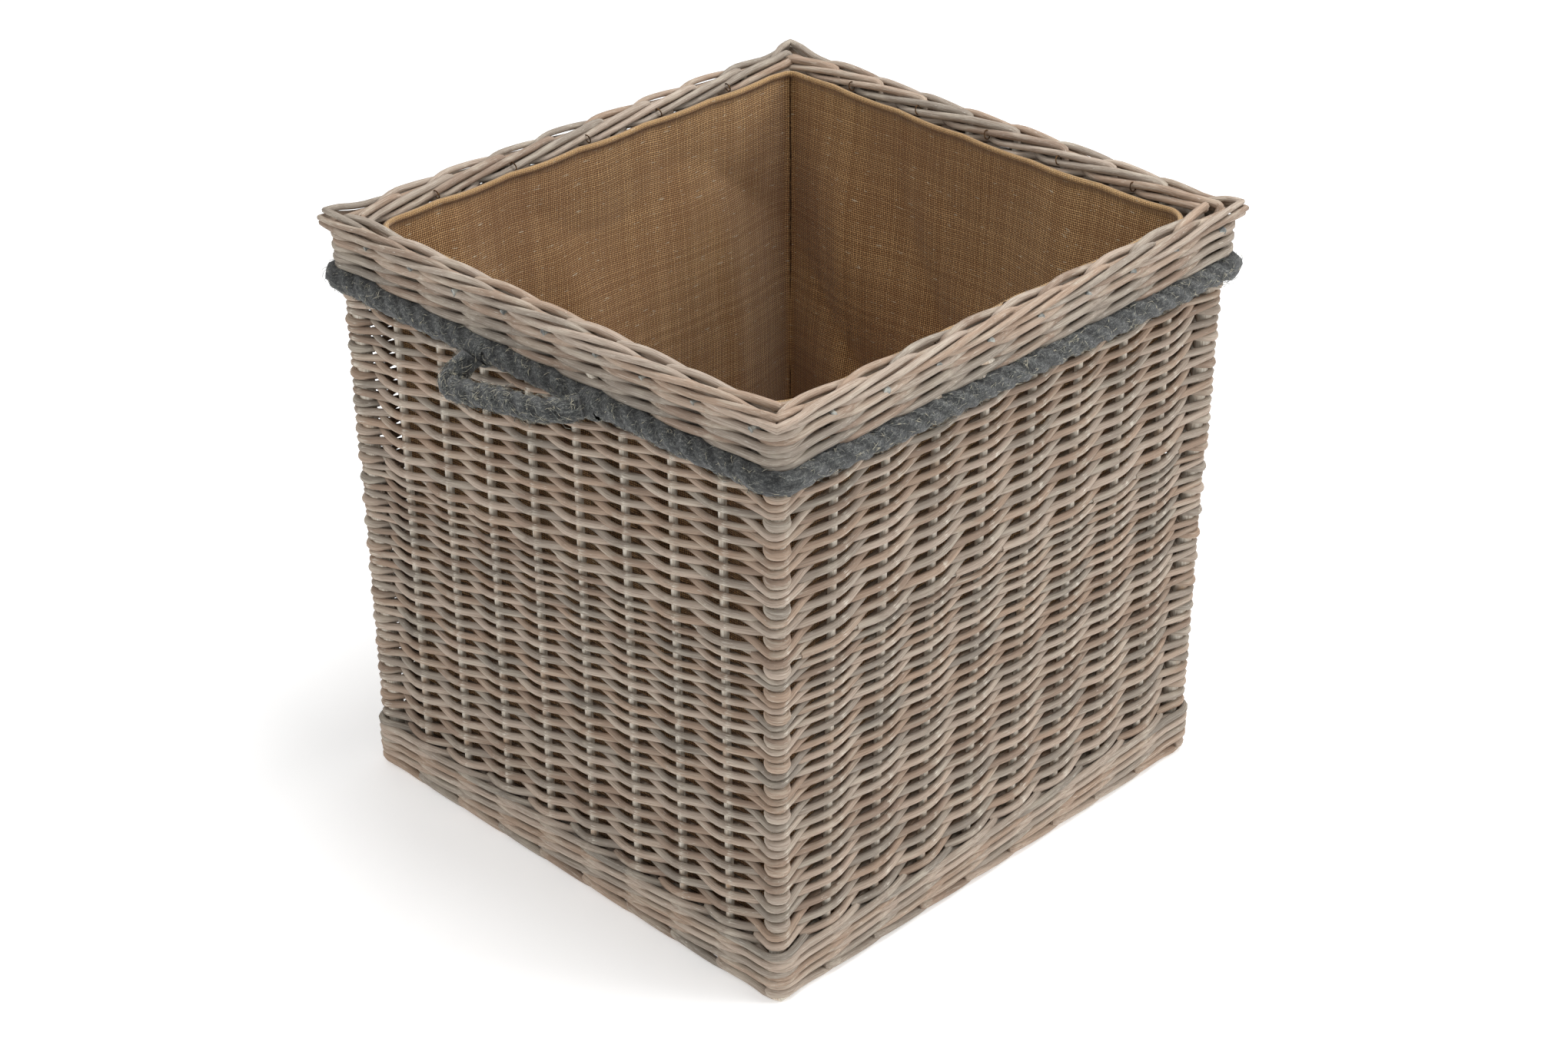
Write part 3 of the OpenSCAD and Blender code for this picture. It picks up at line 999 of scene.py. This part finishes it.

# %% [markdown]
# ## Hessian
# Hessian is a plain weave of thick uneven jute threads, and its threads can be counted. The
# cloth's UV map is its flat cut in metres. A sine along each thread lifts it over every
# second crossing, a rounded ridge across it gives it thickness, and the higher of the two
# threads is the one that shows. Its colour is painted from that height: painted shade on the
# low parts of each thread, nearly black painted shade in the gap where neither reaches, and
# painted light on the crowns.

# %% Hessian finish
THREAD = 1.75 * MM
# Painted light: a lighter band on the rolled top of the hem begins between these distances up the strip,
# in metres
HEM_LIGHT_BAND = (0.474, 0.484)


def hessian_finish():
    cloth = Finish("hessian", Specular_IOR_Level=0.1, Sheen_Weight=0.2, Sheen_Roughness=0.5)
    flat = cloth.add("UVMap", {"uv_map": "flat"}, {})
    drift = cloth.noise(flat, 9, 2)
    wander = cloth.noise(flat, 300, 2)
    parts = cloth.add("SeparateXYZ", {}, {0: flat})
    down = Wire(cloth, parts.socket.node.outputs[1])
    warp_at = parts / THREAD + drift * 5 + wander * 0.35
    weft_at = down / THREAD + drift * 6 + wander * 0.35

    def thread(across, along, flip):
        """Height of one set of threads, which run along one way and lie side by side."""
        own = cloth.add("Math", {"operation": "FLOOR"}, {0: across})
        fat = cloth.add("TexWhiteNoise", {"noise_dimensions": "1D"}, {"W": own + flip})
        from_middle = cloth.add("Math", {"operation": "PINGPONG"}, {0: across, 1: 0.5})
        ridge = cloth.step(from_middle, 0.11, 0.31 + fat * 0.2)
        swing = cloth.add("Math", {"operation": "SINE"}, {0: along * math.pi})
        lay = cloth.add("Math", {"operation": "SIGN"},
                        {0: cloth.add("Math", {"operation": "SINE"}, {0: across * math.pi})})
        return ridge * (0.55 + swing * lay * (0.45 * flip)), fat

    warp, warp_own = thread(warp_at, weft_at, 1)
    weft, weft_own = thread(weft_at, warp_at, -1)
    height = cloth.add("Math", {"operation": "MAXIMUM"}, {0: warp, 1: weft})
    # Painted light and shade: nearly black in the gaps between threads, darker low on each thread, pale
    # on the crowns
    shade = cloth.ramp(height, (0.1, linear(12, 7, 3)), (0.35, linear(104, 72, 40)),
                       (0.9, linear(226, 184, 130)))
    own = cloth.blend((warp_own + weft_own) * 0.2, shade, linear(150, 106, 62))
    broad = cloth.noise(flat, 5, 2)
    toned = cloth.blend(cloth.step(broad, 0.35, 0.7) * 0.35, own, linear(120, 80, 52))
    # Painted light along the rolled top of the hem
    hem_light = cloth.step(down, *HEM_LIGHT_BAND)
    toned = cloth.blend(hem_light * 0.4, toned, linear(214, 180, 132))
    slubs = cloth.step(cloth.noise(cloth.add("Mapping", {}, {"Vector": flat, "Scale": (100, 380, 1)}),
                                   1.0, 2), 0.655, 0.69)
    specked = cloth.blend(slubs * height * 0.8, toned, linear(226, 212, 184))
    return cloth.finish(Base_Color=specked, Roughness=0.85 + height * 0.1, height=(height, 0.7, 0.0007))


hessian = hessian_finish()

# %% [markdown]
# ## The lining
# The lining is a bag of hessian: one long strip round the walls and a flat piece for the
# base. The bag's outline is an oblong with rounded corners, three wide and one narrow, and a
# place on it is found from its distance round.

# %% Lining outline
base_low, base_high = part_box("lining_base")
hem_low, hem_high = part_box("lining_hem")
walls_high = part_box("lining_walls")[1]
CORNER_R = (0.030, 0.030, 0.008, 0.030)


def outline(run, half_x, half_y, radii):
    """Place and outward direction at a distance round a rounded oblong, from the front left."""
    half = (half_x, half_y)
    for wall in range(4):
        near, far = radii[wall], radii[(wall + 1) % 4]
        straight = 2 * half[wall % 2] - near - far
        if run <= straight:
            return ALONG[wall] * (near + run - half[wall % 2]) + OUT[wall] * half[1 - wall % 2], OUT[wall]
        run -= straight
        if run <= far * math.pi / 2:
            turn = run / far
            out = OUT[wall] * math.cos(turn) + ALONG[wall] * math.sin(turn)
            centre = ALONG[wall] * (half[wall % 2] - far) + OUT[wall] * (half[1 - wall % 2] - far)
            return centre + out * far, out
        run -= far * math.pi / 2
    return outline(0.0, half_x, half_y, radii)


def outline_length(half_x, half_y, radii):
    return 4 * (half_x + half_y) - sum(radii) * (2 - math.pi / 2)


print("lining outline at the base:", round(outline_length(base_high[0], base_high[1], CORNER_R), 3), "m")

# %% [markdown]
# The cloth hangs from a few stitches, so it sags between them, and most along the right wall.
# Lower down it stands in from the walls in broad folds, waves and small creases, each a noise
# at its own scale. All of them fade out at the foot, at the top and in the corners.

# %% Sag and folds
# Depths in mm
FOLD = 22.0
WAVE = 8.0
CREASE = 3.0


def hem_sag(share):
    """How far the hem hangs below its stitches, in metres, at a share of the way round."""
    wall = share * 4
    between_ties = abs(math.sin(wall * 6 * math.pi))
    loose = 0.4 + 0.6 * noise.noise(Vector((wall * 1.3, 3.0, 0.0)))
    right_wall = max(0.0, 1 - abs(wall - 1.35) / 0.55)
    return (1.6 * between_ties * (0.6 + loose) + 4.5 * right_wall + 1.0 * max(0.0, loose)) * MM


def billow(spot, z, level, to_corner):
    """How far the cloth stands in from its outline, in mm; nothing at its foot and its top."""
    belly = math.sin(math.pi * min(1.0, max(0.0, level))) ** 0.6
    waves = noise.noise(Vector((spot.x * 10, spot.y * 10, z * 3.2))) + 0.35
    creases = noise.noise(Vector((spot.x * 26, spot.y * 26, z * 6 + 4)))
    folds = abs(noise.noise(Vector((spot.x * 6 + z * 3, spot.y * 6 - z * 3, 2.0))))
    depth = (folds * FOLD + max(0.0, waves) * WAVE + max(0.0, creases) * CREASE) * belly
    return depth * (0.15 + 0.85 * min(1.0, to_corner / 0.07))


print("hem hangs", round(hem_sag(0.34) * 1000, 1), "mm low on the right wall")

# %% [markdown]
# A flat grid is the strip before it is sewn. Each point is moved to its place along the
# outline and up the side, where the last few centimetres roll over into a hem. Then the grid
# gets the thickness of the cloth.

# %% Lining strip
# Share of the hem, distance in and height in mm
HEM_ROLL = ((0.0, 0.0, 0.0), (0.6, 1.0, 0.0), (0.75, 2.6, 2.6), (0.86, 3.2, 6.2), (0.93, 2.0, 9.0),
            (0.96, 0.2, 10.0), (0.98, -1.0, 8.6), (1.0, -1.2, 5.0))
HEM_CLOTH = 36 * MM
HEM_BELOW = 14 * MM
HEM_EXTRA = 22 * MM
CLOTH = 1.2 * MM
STRIP_STEPS = 380
RISE_STEPS = 96


def add_sheet(name, bm, *replaced):
    """A thick sheet of hessian from a grid."""
    bmesh.ops.recalc_face_normals(bm, faces=bm.faces)
    bmesh.ops.solidify(bm, geom=bm.faces, thickness=CLOTH)
    mesh = bpy.data.meshes.new(name)
    bm.to_mesh(mesh)
    bm.free()
    mesh.polygons.foreach_set("use_smooth", [True] * len(mesh.polygons))
    return add_piece(name, mesh, hessian, "basket", "lining", *replaced)


def lining_strip():
    length = outline_length(base_high[0], base_high[1], CORNER_R)
    rise = hem_high[2] - base_high[2]
    tall = rise + HEM_EXTRA
    bm = bmesh.new()
    bmesh.ops.create_grid(bm, x_segments=STRIP_STEPS, y_segments=RISE_STEPS, size=0.5)
    flat = bm.loops.layers.uv.new("flat")
    for face in bm.faces:
        for loop in face.loops:
            loop[flat].uv = ((loop.vert.co.x + 0.5) * length, (loop.vert.co.y + 0.5) * tall)
    hem_start = 1 - HEM_CLOTH / tall
    for v in bm.verts:
        round_share, up = v.co.x + 0.5, v.co.y + 0.5
        if up <= hem_start:
            z = base_high[2] + (rise - HEM_BELOW) * up / hem_start
            inward = 0.0
        else:
            roll = (up - hem_start) / (1 - hem_start)
            inward, lift = between(HEM_ROLL, roll)
            z = base_high[2] + rise - HEM_BELOW + (4 + lift) * MM * min(1.0, roll * 3)
        level = (z - base_high[2]) / rise
        z -= hem_sag(round_share) * level
        half_x = base_high[0] + (walls_high[0] - base_high[0]) * level
        half_y = base_high[1] + (walls_high[1] - base_high[1]) * level
        run = round_share * outline_length(half_x, half_y, CORNER_R)
        spot, out = outline(run, half_x, half_y, CORNER_R)
        to_corner = max(half_x - abs(spot.x), half_y - abs(spot.y))
        spot -= out * (inward + billow(spot, z, level, to_corner)) * MM
        v.co = Vector((spot.x, spot.y, z))
    bmesh.ops.remove_doubles(bm, verts=bm.verts, dist=0.05 * MM)
    piece = add_sheet("lining_strip", bm, "lining_walls", "lining_hem")
    print(f"lining strip cut {length:.3f} x {tall:.3f} m")


lining_strip()

# %% [markdown]
# The base piece lies on the woven base. A square grid is drawn in to a rounded oblong, so
# that its rows stay whole threads, and it is laid down with a few shallow waves.

# %% Lining base
FLOOR_GAP = 0.6 * MM
FLOOR_UP = 1.6 * MM
FLOOR_WAVE = 1.2 * MM


def lining_floor():
    half_x, half_y = base_high[0] - FLOOR_GAP, base_high[1] - FLOOR_GAP
    bm = bmesh.new()
    bmesh.ops.create_grid(bm, x_segments=80, y_segments=80, size=1.0)
    flat = bm.loops.layers.uv.new("flat")
    for face in bm.faces:
        for loop in face.loops:
            loop[flat].uv = (loop.vert.co.x * half_x, loop.vert.co.y * half_y)
    for v in bm.verts:
        x, y = v.co.x * half_x, v.co.y * half_y
        radius = CORNER_R[(1 if x > 0 else 0) if y < 0 else (2 if x > 0 else 3)]
        over_x, over_y = abs(x) - (half_x - radius), abs(y) - (half_y - radius)
        if over_x > 0 and over_y > 0:
            p, q = over_x / radius, over_y / radius
            x = math.copysign(half_x - radius + over_x * math.sqrt(1 - q * q / 2), x)
            y = math.copysign(half_y - radius + over_y * math.sqrt(1 - p * p / 2), y)
        lift = noise.noise(Vector((x * 14, y * 14, 7.0))) * FLOOR_WAVE
        v.co = Vector((x, y, base_low[2] + FLOOR_UP + max(-0.2 * MM, lift)))
    piece = add_sheet("lining_floor", bm, "lining_base")
    print(f"lining floor cut {2 * half_x:.3f} x {2 * half_y:.3f} m")


lining_floor()

# %% [markdown]
# A thread is sewn up each corner of the bag, and it tacks the hem to the rim with five loops
# a wall as well. It is thin and waxed, so each stitch is a small round loop.

# %% Seam and ties
thread_finish = fibre_finish("tan thread", (50, 35, 21), (72, 51, 32), (104, 78, 50))
SEAM_R = 0.7 * MM
TIE_R = 0.55 * MM


def seam_lines():
    """A line up each corner of the bag, just inside its rounded edge."""
    lines = []
    bottom, top = base_high[2] + 2 * MM, hem_low[2] - 2 * MM
    for radius, (a, b) in zip(CORNER_R, ((-1, -1), (1, -1), (1, 1), (-1, 1))):
        inset = radius * (1 - math.sqrt(0.5)) + 1.0 * MM
        line = []
        for n in range(25):
            z = bottom + (top - bottom) * n / 24
            level = (z - base_high[2]) / (hem_high[2] - base_high[2])
            x = base_high[0] + (walls_high[0] - base_high[0]) * level - inset
            y = base_high[1] + (walls_high[1] - base_high[1]) * level - inset
            line.append(Vector((a * x, b * y, z)))
        lines.append((line, [SEAM_R] * len(line)))
    return lines


def tie_loops():
    """Five round stitches a wall, behind the uprights and through the hem."""
    loops = []
    turns = [2 * math.pi * k / 12 for k in range(13)]
    for s in [wall * GAPS + 1.5 + 1.5 * n for wall in range(4) for n in range(5)]:
        loop = [on_ring(s + 0.02 * math.sin(turn), -7.2 * MM + 3.2 * MM * math.cos(turn),
                        490 * MM + 3.6 * MM * math.sin(turn)) for turn in turns]
        loops.append((loop, [TIE_R] * len(loop)))
    return loops


for name, lines, node in (("lining_seam_threads", seam_lines(), "lining_seams"),
                          ("lining_tie_loops", tie_loops(), "lining_ties")):
    add_piece(name, tube_mesh(name, lines, 1, True), thread_finish, "basket", "lining", node)

# %% [markdown]
# ## Ends and joins in the willow
# A basket is full of rod ends. Each border stake's neighbour leaves a round grey butt facing
# out between the border and the wale, and new weavers are pieced in with slanting cuts that
# show as pale slivers. They are short rods of the same kind, set at the right places.

# %% Butts and slivers
# Wall, distance along it and height of one end and of the other, distance outwards, in mm
SLIVERS = ((0, -50, 469.5, -29, 463.5, 8.4), (0, -50, 457.5, -24, 449.5, 9.6), (0, 5, 455, 29, 448, 9.6),
           (0, -100, 460, -88, 456, 8.6), (3, 62, 463, 50, 470, 8.2), (2, 30, 466, 6, 460, 8.6),
           (1, -60, 462, -38, 456, 8.6))
# Share of a sliver, how far it stands out more there, and its radius, both in mm
SLIVER_CUT = ((0, 0.5, 1.2), (0.2, 2.2, 2.6), (0.6, 2.4, 2.7), (0.9, 2.0, 2.2), (1, 0.8, 0.5))

cut_ends = fibre_finish("cut ends", (96, 98, 97), (140, 142, 138), (176, 176, 168))


def wall_point(wall, along, side, z):
    return ALONG[wall] * along * MM + OUT[wall] * (wall_half(0 if wall % 2 else 1, z * MM) - STAKE_IN
                                                   + side * MM) + Vector((0, 0, z * MM))


def ends():
    rng = random.Random(81)
    butts, cuts = new_bundle(), new_bundle()
    for n in range(ROUND):
        s = n + rng.uniform(0.68, 0.82)
        z = (483.6 + rng.uniform(-1.2, 1.2)) * MM
        reach = (14.4 + rng.uniform(-1.2, 0.6)) * MM
        line = [on_ring(s + 0.05, 4 * MM, z + 0.5 * MM), on_ring(s, reach, z)]
        add_rod(butts, line, [rng.uniform(2.6, 3.3) * MM] * 2, rng.random())
    for wall, x0, z0, x1, z1, side in SLIVERS:
        line = [wall_point(wall, x0 + (x1 - x0) * t, side + lift, z0 + (z1 - z0) * t)
                for t, lift, _ in SLIVER_CUT]
        add_rod(cuts, line, [radius * MM for _, _, radius in SLIVER_CUT], rng.uniform(0.4, 0.6))
    worn = [on_ring(ROUND - 0.05, 7.6 * MM, 3.0 * MM), on_ring(0.03, 8.2 * MM, 3.2 * MM),
            on_ring(0.13, 8.4 * MM, 3.6 * MM)]
    add_rod(cuts, worn, [1.6 * MM, 2.8 * MM, 1.4 * MM], 0.5)
    finish_bundle("rim_butts", butts, cut_ends)
    finish_bundle("pieced_ends", cuts, pale_willow)


ends()
